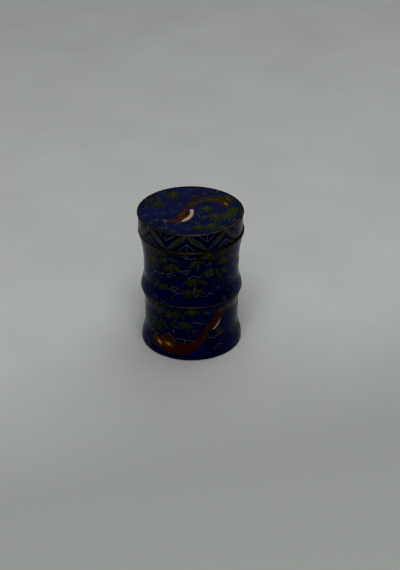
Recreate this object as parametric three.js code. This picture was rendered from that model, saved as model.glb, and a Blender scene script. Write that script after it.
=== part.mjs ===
// A small lidded box in cloisonne enamel, shaped like a length of bamboo. Two waisted segments meet at a
// node, thin brass rings edge the foot, the node, the mouth and the lid, and the lid lifts off a collar.
// Millimetres, +Z up, with the origin on the table under the middle of the foot.
import * as THREE from "three";

const FACETS_ROUND = 60;

// Heights, from the table up.
const boxHeight = 76;
const lidHeight = 10.25;
const footRingHeight = 0.5;
const nodeHeight = 32.2; // underside of the node ring
const nodeRingHeight = 0.9;
const mouthRimHeight = 0.8;
const lidLowerRimHeight = 0.7;
const lidUpperRimHeight = 0.55;
const collarHeadroom = 3.5; // left above the collar, inside the lid
const baseRecess = 2; // hollow under the base

// The mouth is the widest of the enamelled walls. The rest are set in from it, each by its own amount.
const mouthRadius = 27.75;
const lidInset = 0.35;
const upperWaistInset = 2.6;
const overNodeInset = 0.85;
const underNodeInset = 1.4;
const lowerWaistInset = 2.8;
const footInset = 0.75;

// How far each flare reaches from its end of a segment towards the waist.
const footFlare = 11.2;
const underNodeFlare = 8.5;
const overNodeFlare = 8;
const mouthFlare = 18.6;

// The wall is sheet copper with enamel fused on both faces.
const copperGauge = 0.8;
const outerEnamel = 0.5;
const innerEnamel = 0.4;
const wall = copperGauge + outerEnamel + innerEnamel;
const footRoll = 0.5; // the enamel rolls under by this much above the foot ring
const baseFillet = 2.5;
const lidFillet = 1.5;

// Brass.
const rimProud = 0.1; // rings stand this far out of the enamel beside them
const lidRimProud = 0.45;
const rimRound = 0.25;
const footRingWidth = 1.6;
const nodeRingDepth = 0.9;
const lidRimWidth = 1.3;
const collarGauge = 0.8;
const collarGap = 0.2; // left between the collar and the lid on the side it has slid to
const lidShift = 0.35; // the lid sits this far off centre

// Outer radii that follow from the set-ins.
const lidRadius = mouthRadius - lidInset;
const upperWaistRadius = mouthRadius - upperWaistInset;
const overNodeRadius = mouthRadius - overNodeInset;
const underNodeRadius = mouthRadius - underNodeInset;
const lowerWaistRadius = mouthRadius - lowerWaistInset;
const footRadius = mouthRadius - footInset;

// Levels that follow from the heights.
const lidFoot = boxHeight - lidHeight;
const mouthTop = lidFoot - mouthRimHeight;
const nodeTop = nodeHeight + nodeRingHeight;
const rollTop = footRingHeight + footRoll;
const baseTop = baseRecess + wall;
const lidTopUnderside = boxHeight - wall;
const collarTop = lidTopUnderside - collarHeadroom;

// A flare that rolls over at its end, as at a bamboo node, and one that opens like a trumpet.
// Both fall from 1 at the end of the segment to 0 at the end of their reach.
const rolled = (u) => (u < 1 ? (1 + Math.cos(Math.PI * u)) / 2 : 0);
const opened = (u) => (u < 1 ? (1 - u) ** 2 : 0);

function lowerRadius(z) {
  const atFoot = (footRadius - lowerWaistRadius) * rolled((z - rollTop) / footFlare);
  const atNode = (underNodeRadius - lowerWaistRadius) * rolled((nodeHeight - z) / underNodeFlare);
  return lowerWaistRadius + atFoot + atNode;
}

function upperRadius(z) {
  const atNode = (overNodeRadius - upperWaistRadius) * rolled((z - nodeTop) / overNodeFlare);
  const atMouth = (mouthRadius - upperWaistRadius) * opened((mouthTop - z) / mouthFlare);
  return upperWaistRadius + atNode + atMouth;
}

const point = (radius, z) => new THREE.Vector2(radius, z);

// Points of a radius law from one level to another, both ends included.
function stretch(radiusAt, from, to, steps, inset = 0) {
  return Array.from({ length: steps + 1 }, (_, i) => {
    const z = from + ((to - from) * i) / steps;
    return point(radiusAt(z) - inset, z);
  });
}

// Part of a round about (radius, z), from one angle to another in degrees, 0 pointing outwards.
function round(radius, z, size, from, to, steps) {
  return Array.from({ length: steps + 1 }, (_, i) => {
    const a = THREE.MathUtils.degToRad(from + ((to - from) * i) / steps);
    return point(radius + size * Math.cos(a), z + size * Math.sin(a));
  });
}

// Turns a profile round +Z. A ring's profile is closed first.
function turned(name, profile, material, closed = false) {
  const outline = closed ? [...profile, profile[0].clone()] : profile;
  const geometry = new THREE.LatheGeometry(outline, FACETS_ROUND);
  geometry.rotateX(Math.PI / 2);
  const mesh = new THREE.Mesh(geometry, material);
  mesh.name = name;
  return mesh;
}

const cobaltEnamel = new THREE.MeshStandardMaterial({ color: 0x0b1040, roughness: 0.15, metalness: 0 });
const agedBrass = new THREE.MeshStandardMaterial({ color: 0x8a6f3c, roughness: 0.35, metalness: 1 });

function bodyShell() {
  const filletTop = baseTop + baseFillet;
  const filletCentre = lowerRadius(filletTop) - wall - baseFillet;
  const footEdge = footRadius - footRoll;
  const skirt = footRadius - wall;
  const ringSeat = overNodeRadius + rimProud - nodeRingDepth;
  return turned(
    "body_shell",
    [
      point(0, baseRecess),
      point(skirt, baseRecess),
      point(skirt, footRingHeight),
      ...round(footEdge, rollTop, footRoll, -90, 0, 2),
      ...stretch(lowerRadius, rollTop, nodeHeight, 11).slice(1),
      point(ringSeat, nodeHeight),
      point(ringSeat, nodeTop),
      ...stretch(upperRadius, nodeTop, mouthTop, 11),
      ...stretch(upperRadius, mouthTop, nodeTop, 5, wall),
      ...stretch(lowerRadius, nodeHeight, filletTop, 4, wall),
      ...round(filletCentre, filletTop, baseFillet, 0, -90, 2).slice(1),
      point(0, baseTop),
    ],
    cobaltEnamel,
  );
}

function footRing() {
  const outside = footRadius - footRoll;
  return turned(
    "foot_ring",
    [
      point(outside - footRingWidth, 0),
      ...round(outside - rimRound, rimRound, rimRound, -90, 0, 1),
      point(outside, footRingHeight),
      point(outside - footRingWidth, footRingHeight),
    ],
    agedBrass,
    true,
  );
}

function nodeRing() {
  const outside = overNodeRadius + rimProud;
  return turned(
    "node_ring",
    [
      point(outside - nodeRingDepth, nodeHeight),
      ...round(outside - rimRound, nodeHeight + rimRound, rimRound, -90, 0, 1),
      ...round(outside - rimRound, nodeTop - rimRound, rimRound, 0, 90, 1),
      point(outside - nodeRingDepth, nodeTop),
    ],
    agedBrass,
    true,
  );
}

function mouthRim() {
  const outside = mouthRadius + rimProud;
  const collarOutside = lidRadius - wall - lidShift - collarGap;
  const collarInside = collarOutside - collarGauge;
  return turned(
    "mouth_rim",
    [
      point(collarInside, mouthTop),
      ...round(outside - rimRound, mouthTop + rimRound, rimRound, -90, 0, 1),
      ...round(outside - rimRound, lidFoot - rimRound, rimRound, 0, 90, 1),
      point(collarOutside, lidFoot),
      point(collarOutside, collarTop),
      point(collarInside, collarTop),
    ],
    agedBrass,
    true,
  );
}

function lidShell() {
  const inside = lidRadius - wall;
  const rimSeat = lidRadius + lidRimProud - lidRimWidth;
  return turned(
    "lid_shell",
    [
      point(0, lidTopUnderside),
      ...round(inside - lidFillet, lidTopUnderside - lidFillet, lidFillet, 90, 0, 2),
      point(inside, lidFoot + lidLowerRimHeight),
      point(lidRadius, lidFoot + lidLowerRimHeight),
      point(lidRadius, boxHeight - lidUpperRimHeight),
      point(rimSeat, boxHeight - lidUpperRimHeight),
      point(rimSeat, boxHeight),
      point(0, boxHeight),
    ],
    cobaltEnamel,
  );
}

function lidLowerRim() {
  const outside = lidRadius + rimProud;
  return turned(
    "lid_lower_rim",
    [
      point(lidRadius - wall, lidFoot),
      ...round(outside - rimRound, lidFoot + rimRound, rimRound, -90, 0, 1),
      point(outside, lidFoot + lidLowerRimHeight),
      point(lidRadius - wall, lidFoot + lidLowerRimHeight),
    ],
    agedBrass,
    true,
  );
}

function lidUpperRim() {
  const outside = lidRadius + lidRimProud;
  return turned(
    "lid_upper_rim",
    [
      point(outside - lidRimWidth, boxHeight - lidUpperRimHeight),
      point(outside, boxHeight - lidUpperRimHeight),
      ...round(outside - rimRound, boxHeight - rimRound, rimRound, 0, 90, 1),
      point(outside - lidRimWidth, boxHeight),
    ],
    agedBrass,
    true,
  );
}

const body = new THREE.Group();
body.add(bodyShell(), footRing(), nodeRing(), mouthRim());

const lid = new THREE.Group();
lid.position.x = -lidShift;
lid.add(lidShell(), lidLowerRim(), lidUpperRim());

const box = new THREE.Group();
box.add(body, lid);

export default box;
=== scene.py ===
# Looks for a small bamboo-shaped box in cloisonne enamel: cobalt ground, bamboo leaves, long-tailed birds
# and cloud scrolls between flattened brass wires, brass rings at the foot, the node, the mouth and the lid.
# Charts of the pattern are in millimetres. Meshes are in metres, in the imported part's own frame.
import math
import random

import bmesh
import bpy
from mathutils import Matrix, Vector


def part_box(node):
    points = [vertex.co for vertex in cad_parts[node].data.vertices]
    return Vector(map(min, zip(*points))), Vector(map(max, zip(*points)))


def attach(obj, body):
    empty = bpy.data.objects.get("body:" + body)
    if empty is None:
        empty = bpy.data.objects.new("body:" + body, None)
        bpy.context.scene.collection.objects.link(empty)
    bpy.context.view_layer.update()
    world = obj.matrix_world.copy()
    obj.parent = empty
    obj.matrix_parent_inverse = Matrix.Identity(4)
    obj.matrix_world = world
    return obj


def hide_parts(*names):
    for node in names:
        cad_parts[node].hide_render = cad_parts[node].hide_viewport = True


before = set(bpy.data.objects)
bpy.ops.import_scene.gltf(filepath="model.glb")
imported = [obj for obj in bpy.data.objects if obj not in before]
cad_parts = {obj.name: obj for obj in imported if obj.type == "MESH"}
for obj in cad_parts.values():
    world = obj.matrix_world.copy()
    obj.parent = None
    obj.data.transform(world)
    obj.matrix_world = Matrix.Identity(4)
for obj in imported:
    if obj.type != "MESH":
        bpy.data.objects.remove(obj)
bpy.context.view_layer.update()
scene = bpy.context.scene

MM = 0.001

# Sizes that the frame gives, in millimetres.
body_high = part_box("body_shell")[1] / MM
lid_low, lid_high = (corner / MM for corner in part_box("lid_shell"))
foot_ring_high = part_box("foot_ring")[1] / MM
node_ring_low, node_ring_high = (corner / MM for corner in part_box("node_ring"))
mouth_rim_low, mouth_rim_high = (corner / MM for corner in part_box("mouth_rim"))
lower_rim_low, lower_rim_high = (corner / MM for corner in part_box("lid_lower_rim"))
upper_rim_low, upper_rim_high = (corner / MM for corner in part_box("lid_upper_rim"))

BOX_TOP = lid_high.z
NODE_HEIGHT = node_ring_low.z
NODE_TOP = node_ring_high.z
MOUTH_TOP = body_high.z
LID_FOOT = lower_rim_low.z
MOUTH_RADIUS = body_high.x
LID_RADIUS = lid_high.y
LID_AXIS = (lid_low.x + lid_high.x) / 2
FOOT_RING_HEIGHT = foot_ring_high.z

# Sizes of the walls, as the solids have them. The walls are set in from the mouth.
WALL = 1.7
UNDER_NODE_INSET = 1.4
UPPER_WAIST_INSET = 2.6
LOWER_WAIST_INSET = 2.8
FOOT_ROLL = 0.5
RIM_PROUD = 0.1
FOOT_FLARE = 11.2
UNDER_NODE_FLARE = 8.5
OVER_NODE_FLARE = 8
MOUTH_FLARE = 18.6
BASE_RECESS = 2
BASE_FILLET = 2.5
LID_FILLET = 1.5
FOOT_RING_WIDTH = 1.6
NODE_RING_DEPTH = 0.9
LID_RIM_WIDTH = 1.3
COLLAR_GAUGE = 0.8
COLLAR_GAP = 0.2
RIM_ROUND = 0.25

FOOT_RADIUS = foot_ring_high.x + FOOT_ROLL
OVER_NODE_RADIUS = node_ring_high.x - RIM_PROUD
UNDER_NODE_RADIUS = MOUTH_RADIUS - UNDER_NODE_INSET
UPPER_WAIST_RADIUS = MOUTH_RADIUS - UPPER_WAIST_INSET
LOWER_WAIST_RADIUS = MOUTH_RADIUS - LOWER_WAIST_INSET
BASE_TOP = BASE_RECESS + WALL
ROLL_TOP = FOOT_RING_HEIGHT + FOOT_ROLL
COLLAR_OUTSIDE = LID_RADIUS - WALL - abs(LID_AXIS) - COLLAR_GAP

# Steps of the turned pieces, round the axis and along their profiles.
AROUND = 256
ROUND_STEPS = 4
WALL_STEPS = 72
UPPER_INSIDE_STEPS = 20
LOWER_INSIDE_STEPS = 18
LID_TOP_RINGS = 12
LID_TOP_SINK = 0.08  # the enamel of the lid's top lies this far below its brass rim
PAINTED_LIGHT_FADE, PAINTED_LIGHT_FULL = 0.3, 0.1  # below the top, where the painted light on it begins and is whole
SMOOTH_UNDER = math.radians(32)
TURNED_WELD = 1e-6  # points nearer than this become one, in metres
CELL_WELD = 1e-7
SAME_PLACE = 1e-6

# How the pattern lies in the enamel. It was ground flush, so it stands out by less than a hair.
FILL_PROUD = 0.014
FILL_DEPTH = 0.06
LAYER = 0.0016  # between fills that overlap
LEAF_LAYERS = 4  # leaves take so many layers in turn
WIRE_WIDTH = 0.24
WIRE_PROUD = 0.028
WIRE_DEPTH = 0.25
CELL_STEP = 0.5  # columns of a cell, narrow enough to follow the wall
CHART_RADIUS = 26  # arc lengths on the walls are measured at this radius
RAY_REACH = 60  # the rays that lay the pattern start this far from the axis, or above the lid

# Gauges of the wires, as shares of the whole width.
LINE_GAUGE = 0.6
STALK_GAUGE = 0.4
CLOUD_GAUGE = 0.42
LEAF_GAUGE = 0.26
BIRD_GAUGE = 0.26
BARB_GAUGE = 0.3
BAND_GAUGE = 0.9
BAND_LEAF_GAUGE = 0.75


def to_linear(colour):
    """An sRGB hex value as the linear colour that nodes take."""
    parts = (int(colour[i : i + 2], 16) / 255 for i in (1, 3, 5))
    return tuple(p / 12.92 if p <= 0.04045 else ((p + 0.055) / 1.055) ** 2.4 for p in parts) + (1,)


def node(tree, kind, inputs=(), **settings):
    """Adds a node with its settings and its inputs. An input is a value, a node's output, or a node, whose
    first output in use is linked."""
    made = tree.nodes.new(kind)
    for setting, value in settings.items():
        setattr(made, setting, value)
    for socket, value in dict(inputs).items():
        if isinstance(value, bpy.types.Node):
            value = next(output for output in value.outputs if output.enabled)
        if isinstance(value, bpy.types.NodeSocket):
            tree.links.new(value, made.inputs[socket])
        else:
            made.inputs[socket].default_value = value
    return made


def geometry_tree(name, sockets):
    """A tree with named inputs. Gives the tree and its inputs, by name."""
    tree = bpy.data.node_groups.new(name, "GeometryNodeTree")
    tree.interface.new_socket("Geometry", in_out="INPUT", socket_type="NodeSocketGeometry")
    for label, kind in sockets.items():
        tree.interface.new_socket(label, in_out="INPUT", socket_type="NodeSocket" + kind)
    tree.interface.new_socket("Geometry", in_out="OUTPUT", socket_type="NodeSocketGeometry")
    return tree, node(tree, "NodeGroupInput").outputs


def ended(tree, geometry, finish=None):
    """Ends a tree: what it made becomes real, and gets its finish unless it has finishes of its own."""
    real = node(tree, "GeometryNodeRealizeInstances", {"Geometry": geometry})
    if finish:
        real = node(tree, "GeometryNodeSetMaterial", {"Geometry": real, "Material": finish})
    node(tree, "NodeGroupOutput", {"Geometry": real})
    return tree


def evaluated(mesh, tree, values):
    """The mesh that a tree makes of another mesh, with the tree's inputs set by name."""
    source = bpy.data.objects.new("source", mesh)
    scene.collection.objects.link(source)
    modifier = source.modifiers.new(tree.name, "NODES")
    modifier.node_group = tree
    for item in tree.interface.items_tree:
        if item.in_out == "INPUT" and item.name in values:
            modifier[item.identifier] = values[item.name]
    bpy.context.view_layer.update()
    result = bpy.data.meshes.new_from_object(source.evaluated_get(bpy.context.evaluated_depsgraph_get()))
    source.modifiers.remove(modifier)
    bpy.data.objects.remove(source)
    return result


def piece(name, mesh, slot, *replaced):
    """A finished piece of the box: normals outwards, smooth but for real edges, riding on the one body."""
    shape = bmesh.new()
    shape.from_mesh(mesh)
    bmesh.ops.recalc_face_normals(shape, faces=shape.faces)
    shape.to_mesh(mesh)
    shape.free()
    mesh.shade_smooth()
    mesh.set_sharp_from_angle(angle=SMOOTH_UNDER)
    made = bpy.data.objects.new(name, mesh)
    scene.collection.objects.link(made)
    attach(made, "root")
    if replaced:
        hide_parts(*replaced)
    return made


# Turned pieces: a profile of (radius, height) points goes round the axis.


def rolled(u):
    """A flare that rolls over, as at a bamboo node: 1 at the end of a segment, 0 at the end of its reach."""
    return (1 + math.cos(math.pi * u)) / 2 if u < 1 else 0


def opened(u):
    """A flare that opens like a trumpet, between the same ends."""
    return (1 - u) ** 2 if u < 1 else 0


def lower_radius(z):
    at_foot = (FOOT_RADIUS - LOWER_WAIST_RADIUS) * rolled((z - ROLL_TOP) / FOOT_FLARE)
    at_node = (UNDER_NODE_RADIUS - LOWER_WAIST_RADIUS) * rolled((NODE_HEIGHT - z) / UNDER_NODE_FLARE)
    return LOWER_WAIST_RADIUS + at_foot + at_node


def upper_radius(z):
    at_node = (OVER_NODE_RADIUS - UPPER_WAIST_RADIUS) * rolled((z - NODE_TOP) / OVER_NODE_FLARE)
    at_mouth = (MOUTH_RADIUS - UPPER_WAIST_RADIUS) * opened((MOUTH_TOP - z) / MOUTH_FLARE)
    return UPPER_WAIST_RADIUS + at_node + at_mouth


def stretch(radius_at, start, end, steps, inset=0):
    """Points of a radius law from one height to another."""
    heights = [start + (end - start) * i / steps for i in range(steps + 1)]
    return [(radius_at(z) - inset, z) for z in heights]


def arc(radius, z, size, start, end):
    """Part of a round about (radius, z), between two angles in degrees, 0 pointing outwards."""
    angles = [math.radians(start + (end - start) * i / ROUND_STEPS) for i in range(ROUND_STEPS + 1)]
    return [(radius + size * math.cos(a), z + size * math.sin(a)) for a in angles]


def make_turning_tree():
    """Grid rows take the profile's points in turn, and grid columns go round the axis."""
    tree, given = geometry_tree(
        "turned_piece", {"Around": "Int", "Axis": "Vector", "Merge": "Float", "Finish": "Material"}
    )
    profile = given["Geometry"]
    size = node(tree, "GeometryNodeAttributeDomainSize", {"Geometry": profile}, component="MESH")
    columns = node(tree, "FunctionNodeIntegerMath", {0: given["Around"], 1: 1}, operation="ADD")
    rows = size.outputs["Point Count"]
    grid = node(tree, "GeometryNodeMeshGrid", {"Vertices X": rows, "Vertices Y": columns})
    index = node(tree, "GeometryNodeInputIndex")
    row = node(tree, "FunctionNodeIntegerMath", {0: index, 1: columns}, operation="DIVIDE_FLOOR")
    column = node(tree, "FunctionNodeIntegerMath", {0: index, 1: columns}, operation="MODULO")
    sampled = {
        "FLOAT": node(tree, "GeometryNodeInputNamedAttribute", {"Name": "counter"}, data_type="FLOAT"),
        "FLOAT_VECTOR": node(tree, "GeometryNodeInputPosition"),
    }
    counter, place = (
        node(
            tree,
            "GeometryNodeSampleIndex",
            {"Geometry": profile, "Value": value, "Index": row},
            data_type=kind,
        )
        for kind, value in sampled.items()
    )
    share = node(tree, "ShaderNodeMath", {0: column, 1: given["Around"]}, operation="DIVIDE")
    angle = node(tree, "ShaderNodeMath", {0: share, 1: math.tau}, operation="MULTIPLY")
    swung = node(tree, "ShaderNodeVectorRotate", {"Vector": place, "Angle": angle}, rotation_type="Z_AXIS")
    shifted = node(tree, "ShaderNodeVectorMath", {0: swung, 1: given["Axis"]}, operation="ADD")
    kept = node(
        tree,
        "GeometryNodeStoreNamedAttribute",
        {"Geometry": grid, "Name": "counter", "Value": counter},
        data_type="FLOAT",
        domain="POINT",
    )
    shape = node(tree, "GeometryNodeSetPosition", {"Geometry": kept, "Position": shifted})
    merged = node(tree, "GeometryNodeMergeByDistance", {"Geometry": shape, "Distance": given["Merge"]})
    return ended(tree, merged, given["Finish"])


turning_tree = make_turning_tree()


def turned(name, replaced, shown, hidden, finish, slot, axis=0.0):
    """Turns a closed profile. The hidden points follow the shown ones, and get the counter-enamel."""
    profile = bpy.data.meshes.new(name + "_profile")
    points = [(r * MM, 0, z * MM) for r, z in shown + hidden + shown[:1]]
    profile.from_pydata(points, [(i, i + 1) for i in range(len(points) - 1)], [])
    counter = profile.attributes.new("counter", "FLOAT", "POINT")
    counter.data.foreach_set("value", [0.0] * len(shown) + [1.0] * len(hidden) + [0.0])
    values = {"Around": AROUND, "Axis": (axis * MM, 0, 0), "Merge": TURNED_WELD, "Finish": finish}
    return piece(name, evaluated(profile, turning_tree, values), slot, replaced)


# Finishes.


def material(name):
    """A new material, with its empty tree and the place on the object that its patterns go by."""
    made = bpy.data.materials.new(name)
    made.use_nodes = True
    tree = made.node_tree
    tree.nodes.clear()
    return made, tree, node(tree, "ShaderNodeTexCoord").outputs["Object"]


def surfaced(tree, inputs):
    """Ends a material's tree with its shader."""
    shader = node(tree, "ShaderNodeBsdfPrincipled", inputs)
    node(tree, "ShaderNodeOutputMaterial", {"Surface": shader})


def patches(tree, where, grain, spread, values=(0.0, 1.0), detail=4.0, rough=0.55):
    """Patches about as wide as the grain, in millimetres: noise within the spread, brought to the values."""
    cloud = node(
        tree,
        "ShaderNodeTexNoise",
        {"Vector": where, "Scale": 1 / (grain * MM), "Detail": detail, "Roughness": rough},
    )
    ends = {"From Min": spread[0], "From Max": spread[1], "To Min": values[0], "To Max": values[1]}
    return node(tree, "ShaderNodeMapRange", {"Value": cloud, **ends})


def layered(tree, colour, *layers):
    """A colour with others laid over it in turn. A layer is the share that it covers and its colour, and a
    colour is an sRGB hex value, linear values or a node."""
    for share, over in layers:
        under, over = (to_linear(c) if isinstance(c, str) else c for c in (colour, over))
        colour = node(tree, "ShaderNodeMix", {"Factor": share, "A": under, "B": over}, data_type="RGBA")
    return colour


def towards_wires(tree, start, end):
    """How near a place in a cell is to the wires at its sides: 0 until the start, and 1 from the end."""
    across = node(tree, "ShaderNodeAttribute", attribute_name="across").outputs["Fac"]
    share = node(tree, "ShaderNodeMath", {0: across}, operation="ABSOLUTE")
    return node(tree, "ShaderNodeMapRange", {"Value": share, "From Min": start, "From Max": end})


def glass_surface(tree, where, colour, roughness):
    """Fired glass, ground and polished: slow waves from polishing, pinholes from firing, dull scuffs."""
    scuffed = patches(tree, where, 6.0, (0.45, 0.75), (roughness, roughness + 0.16), 6.0, 0.7)
    waves = node(
        tree, "ShaderNodeTexNoise", {"Vector": where, "Scale": 1 / (5 * MM), "Detail": 2.0, "Roughness": 0.55}
    )
    pores = node(tree, "ShaderNodeTexVoronoi", {"Vector": where, "Scale": 1 / (1.6 * MM)})
    pits = node(tree, "ShaderNodeMapRange", {"Value": pores, "From Min": 0.05, "From Max": 0.11})
    soft = node(tree, "ShaderNodeBump", {"Height": waves, "Strength": 0.25, "Distance": 0.12 * MM})
    bumps = node(
        tree, "ShaderNodeBump", {"Height": pits, "Normal": soft, "Strength": 0.4, "Distance": 0.03 * MM}
    )
    dirt = node(
        tree,
        "ShaderNodeMapRange",
        {"Value": pores, "From Min": 0.04, "From Max": 0.1, "To Min": 0.55, "To Max": 0.0},
    )
    soiled = layered(tree, colour, (dirt, "#05060C"))
    surfaced(tree, {"Base Color": soiled, "Roughness": scuffed, "IOR": 1.4, "Normal": bumps})


def cobalt_enamel():
    """Opaque cobalt enamel, fired in layers: clouded a little where the layers met, a paler, greyer blue on
    the lid's top that is painted light, and dull turquoise counter-enamel on the faces that the lid and the
    foot hide."""
    made, tree, where = material("cobalt_enamel")
    clouds = patches(tree, where, 7.0, (0.35, 0.7), detail=5.0, rough=0.6)
    grains = patches(tree, where, 0.9, (0.35, 0.7), (0.0, 0.6), rough=0.65)
    blue = layered(tree, "#040B46", (clouds, "#081A70"), (grains, "#03092E"))
    # Painted light: a paler, greyer blue on the lid's top, standing in for the light that falls on it.
    painted_light_blue = layered(tree, "#091A4A", (clouds, "#0E2864"))
    height = node(tree, "ShaderNodeSeparateXYZ", {0: where}).outputs["Z"]
    top = node(
        tree,
        "ShaderNodeMapRange",
        {"Value": height, "From Min": (BOX_TOP - PAINTED_LIGHT_FADE) * MM, "From Max": (BOX_TOP - PAINTED_LIGHT_FULL) * MM},
    )
    counter = node(tree, "ShaderNodeAttribute", attribute_name="counter").outputs["Fac"]
    glass_surface(tree, where, layered(tree, blue, (top, painted_light_blue), (counter, "#2E7F86")), 0.13)
    return made


def leaf_enamel():
    """Green enamel laid between the wires of a leaf, paler along the middle than at its edges. The tint of a
    leaf runs from dull olive to clear green."""
    made, tree, where = material("leaf_enamel")
    tint = node(tree, "ShaderNodeAttribute", attribute_name="tint").outputs["Fac"]
    middle = layered(tree, "#29310A", (tint, "#265209"))
    border = layered(tree, "#0F1405", (tint, "#0C2605"))
    mottle = patches(tree, where, 1.1, (0.35, 0.7), (0.0, 0.6), rough=0.65)
    green = layered(tree, middle, (towards_wires(tree, 0.25, 0.95), border), (mottle, "#141E0E"))
    glass_surface(tree, where, green, 0.16)
    return made


def plumage_enamel(name, middle, border, streak=0.35):
    """Enamel of one part of a bird, darker towards its wires, with the streaks of wet-packed glass grains."""
    made, tree, where = material(name + "_enamel")
    mottle = patches(tree, where, 0.9, (0.35, 0.7), (0.0, streak), rough=0.7)
    coloured = layered(tree, middle, (towards_wires(tree, 0.35, 1.0), border), (mottle, border))
    glass_surface(tree, where, coloured, 0.16)
    return made


def brass(name, bright, tarnish, roughness, grain, thin=None):
    """Drawn brass that was soldered, ground flush and then handled: brown tarnish in patches, and paler metal
    where it rubs. Thin wires can have a darker colour of their own."""
    made, tree, where = material(name)
    tarnished = patches(tree, where, 3.0, (0.35, 0.68), detail=6.0, rough=0.7)
    colour = layered(tree, bright, (tarnished, tarnish))
    if thin:
        gauge = node(tree, "ShaderNodeAttribute", attribute_name="gauge").outputs["Fac"]
        thick = node(tree, "ShaderNodeMapRange", {"Value": gauge, "From Min": 0.3, "From Max": 0.5})
        colour = layered(tree, thin, (thick, colour))
    worn = patches(tree, where, grain, (0.3, 0.7), (roughness - 0.08, roughness + 0.14), 3.0, 0.6)
    height = node(
        tree,
        "ShaderNodeTexNoise",
        {"Vector": where, "Scale": 1 / (grain * MM), "Detail": 3.0, "Roughness": 0.55},
    )
    bumps = node(tree, "ShaderNodeBump", {"Height": height, "Strength": 0.3, "Distance": 0.03 * MM})
    surfaced(tree, {"Base Color": colour, "Metallic": 1.0, "Roughness": worn, "Normal": bumps})
    return made


# Painted shade on the board: its colour darkens along this way, standing in for the light falling off to the
# front and right.
PAINTED_SHADE_WAY = (0.3, -0.95, 0)
PAINTED_SHADE_REACH = 0.11  # metres from the box to where the painted shade is whole


def painted_board():
    """Matt pale board that the box stands on. Its colour carries painted shade: darker towards the front and
    right, standing in for the light falling off there.
    """
    made, tree, where = material("painted_board")
    mottle = patches(tree, where, 60.0, (0.3, 0.7))
    # Painted shade: how far a place lies along the way that the painted falloff darkens.
    forward = node(tree, "ShaderNodeVectorMath", {0: where, 1: PAINTED_SHADE_WAY}, operation="DOT_PRODUCT")
    dim = node(tree, "ShaderNodeMapRange", {"Value": forward, "From Min": 0.0, "From Max": PAINTED_SHADE_REACH})
    colour = layered(tree, "#D3D5D1", (mottle, "#D8DAD6"), (dim, "#C1C3BF"))
    surfaced(tree, {"Base Color": colour, "Roughness": 0.85})
    return made


cobalt = cobalt_enamel()
leaf_green = leaf_enamel()
ring_brass = brass("aged_ring_brass", "#766B50", "#463C29", 0.32, 0.5)
wire_brass = brass("aged_wire_brass", "#AEA892", "#7A7460", 0.42, 0.3, "#6E6C38")
# A darker copy of the ring brass for the foot ring and the lid's top rim: painted shade, with tarnish in
# patches.
tarnished_shaded_brass = brass("tarnished_rim_brass", "#746A54", "#302A20", 0.28, 0.5)

# Enamels of the birds: the middle of a cell, its border, and how far it is streaked.
PLUMAGE_COLOURS = {
    "rust": ("#5E3012", "#261208", 0.8),
    "red": ("#5A0E06", "#280604"),
    "orange": ("#8C3612", "#561408"),
    "scarlet": ("#6C1C0A", "#3A0E08"),
    "russet": ("#742E0C", "#2A0C04"),
    "white": ("#C6AE9A", "#9C8872", 0.15),
    "pink": ("#846254", "#60443A"),
    "brown": ("#5A2216", "#30110B"),
    "olive": ("#2C2712", "#1A180A"),
    "yellow": ("#B0903A", "#7E5A1A", 0.2),
    "cream": ("#CCA884", "#9A6A3C", 0.2),
}
PLUMAGE = {name: plumage_enamel(name, *colours) for name, colours in PLUMAGE_COLOURS.items()}

# The turned pieces.

base_fillet_top = BASE_TOP + BASE_FILLET
base_corner = lower_radius(base_fillet_top) - WALL - BASE_FILLET
ring_seat = node_ring_high.x - NODE_RING_DEPTH
body_enamel = turned(
    "body_enamel",
    "body_shell",
    arc(FOOT_RADIUS - FOOT_ROLL, ROLL_TOP, FOOT_ROLL, -90, 0)
    + stretch(lower_radius, ROLL_TOP, NODE_HEIGHT, WALL_STEPS)[1:]
    + [(ring_seat, NODE_HEIGHT), (ring_seat, NODE_TOP)]
    + stretch(upper_radius, NODE_TOP, MOUTH_TOP, WALL_STEPS),
    stretch(upper_radius, MOUTH_TOP, NODE_TOP, UPPER_INSIDE_STEPS, WALL)
    + stretch(lower_radius, NODE_HEIGHT, base_fillet_top, LOWER_INSIDE_STEPS, WALL)
    + arc(base_corner, base_fillet_top, BASE_FILLET, 0, -90)[1:]
    + [(0, BASE_TOP), (0, BASE_RECESS)]
    + [(FOOT_RADIUS - WALL, BASE_RECESS), (FOOT_RADIUS - WALL, FOOT_RING_HEIGHT)],
    cobalt,
    "enamel",
)

lid_inside = LID_RADIUS - WALL
lid_ceiling = BOX_TOP - WALL
rim_seat = upper_rim_high.x - LID_AXIS - LID_RIM_WIDTH
lid_enamel = turned(
    "lid_enamel",
    "lid_shell",
    [(LID_RADIUS, lower_rim_high.z)]
    + [(LID_RADIUS, upper_rim_low.z), (rim_seat, upper_rim_low.z), (rim_seat, BOX_TOP - LID_TOP_SINK)]
    + [(rim_seat * (1 - i / LID_TOP_RINGS), BOX_TOP - LID_TOP_SINK) for i in range(1, LID_TOP_RINGS + 1)],
    [(0, lid_ceiling)]
    + arc(lid_inside - LID_FILLET, lid_ceiling - LID_FILLET, LID_FILLET, 90, 0)
    + [(lid_inside, lower_rim_high.z)],
    cobalt,
    "enamel",
    LID_AXIS,
)


def outer_edge(outside, low, high, under=RIM_ROUND, over=RIM_ROUND):
    """The outer edge of a ring, rounded under and over."""
    top = arc(outside - over, high - over, over, 0, 90) if over else [(outside, high)]
    return arc(outside - under, low + under, under, -90, 0) + top


def ring(name, profile, axis=0.0, finish=ring_brass):
    """A brass ring from its closed profile."""
    turned(name + "_brass", name, profile, [], finish, "brass", axis)


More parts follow.
